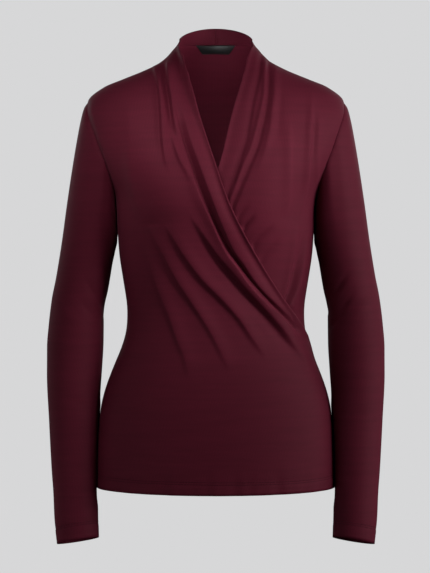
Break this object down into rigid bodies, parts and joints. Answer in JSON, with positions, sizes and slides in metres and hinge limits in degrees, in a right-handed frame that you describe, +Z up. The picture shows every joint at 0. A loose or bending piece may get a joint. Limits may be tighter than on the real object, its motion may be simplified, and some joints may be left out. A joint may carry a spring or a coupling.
{
  "type": "long sleeve shirt",
  "caption": "Women's long sleeve jersey top with a crossed wrap front, a low stand collar and a V neck, filled out as worn and hollow.",
  "frame": {"origin": "midway between the two shoulder seams at the sides of the neck, where the garment hangs on its wearer's shoulders", "axes": "+Z is up along the body, -Y is the front of the garment, and +X is the wearer's left"},
  "size_m": [0.473, 0.2415, 0.7253],
  "materials": {
    "jersey": "burgundy stretch viscose jersey, matt with a soft bloom at grazing angles",
    "label": "plain black woven tape, slightly glossy, with no lettering"
  },
  "bodies": {
    "root": {"front_right": "jersey", "front_left": "jersey", "back": "jersey", "collar_left": "jersey", "collar_right": "jersey", "sleeve_left": "jersey", "sleeve_right": "jersey", "label": "label"}
  },
  "joints": []
}
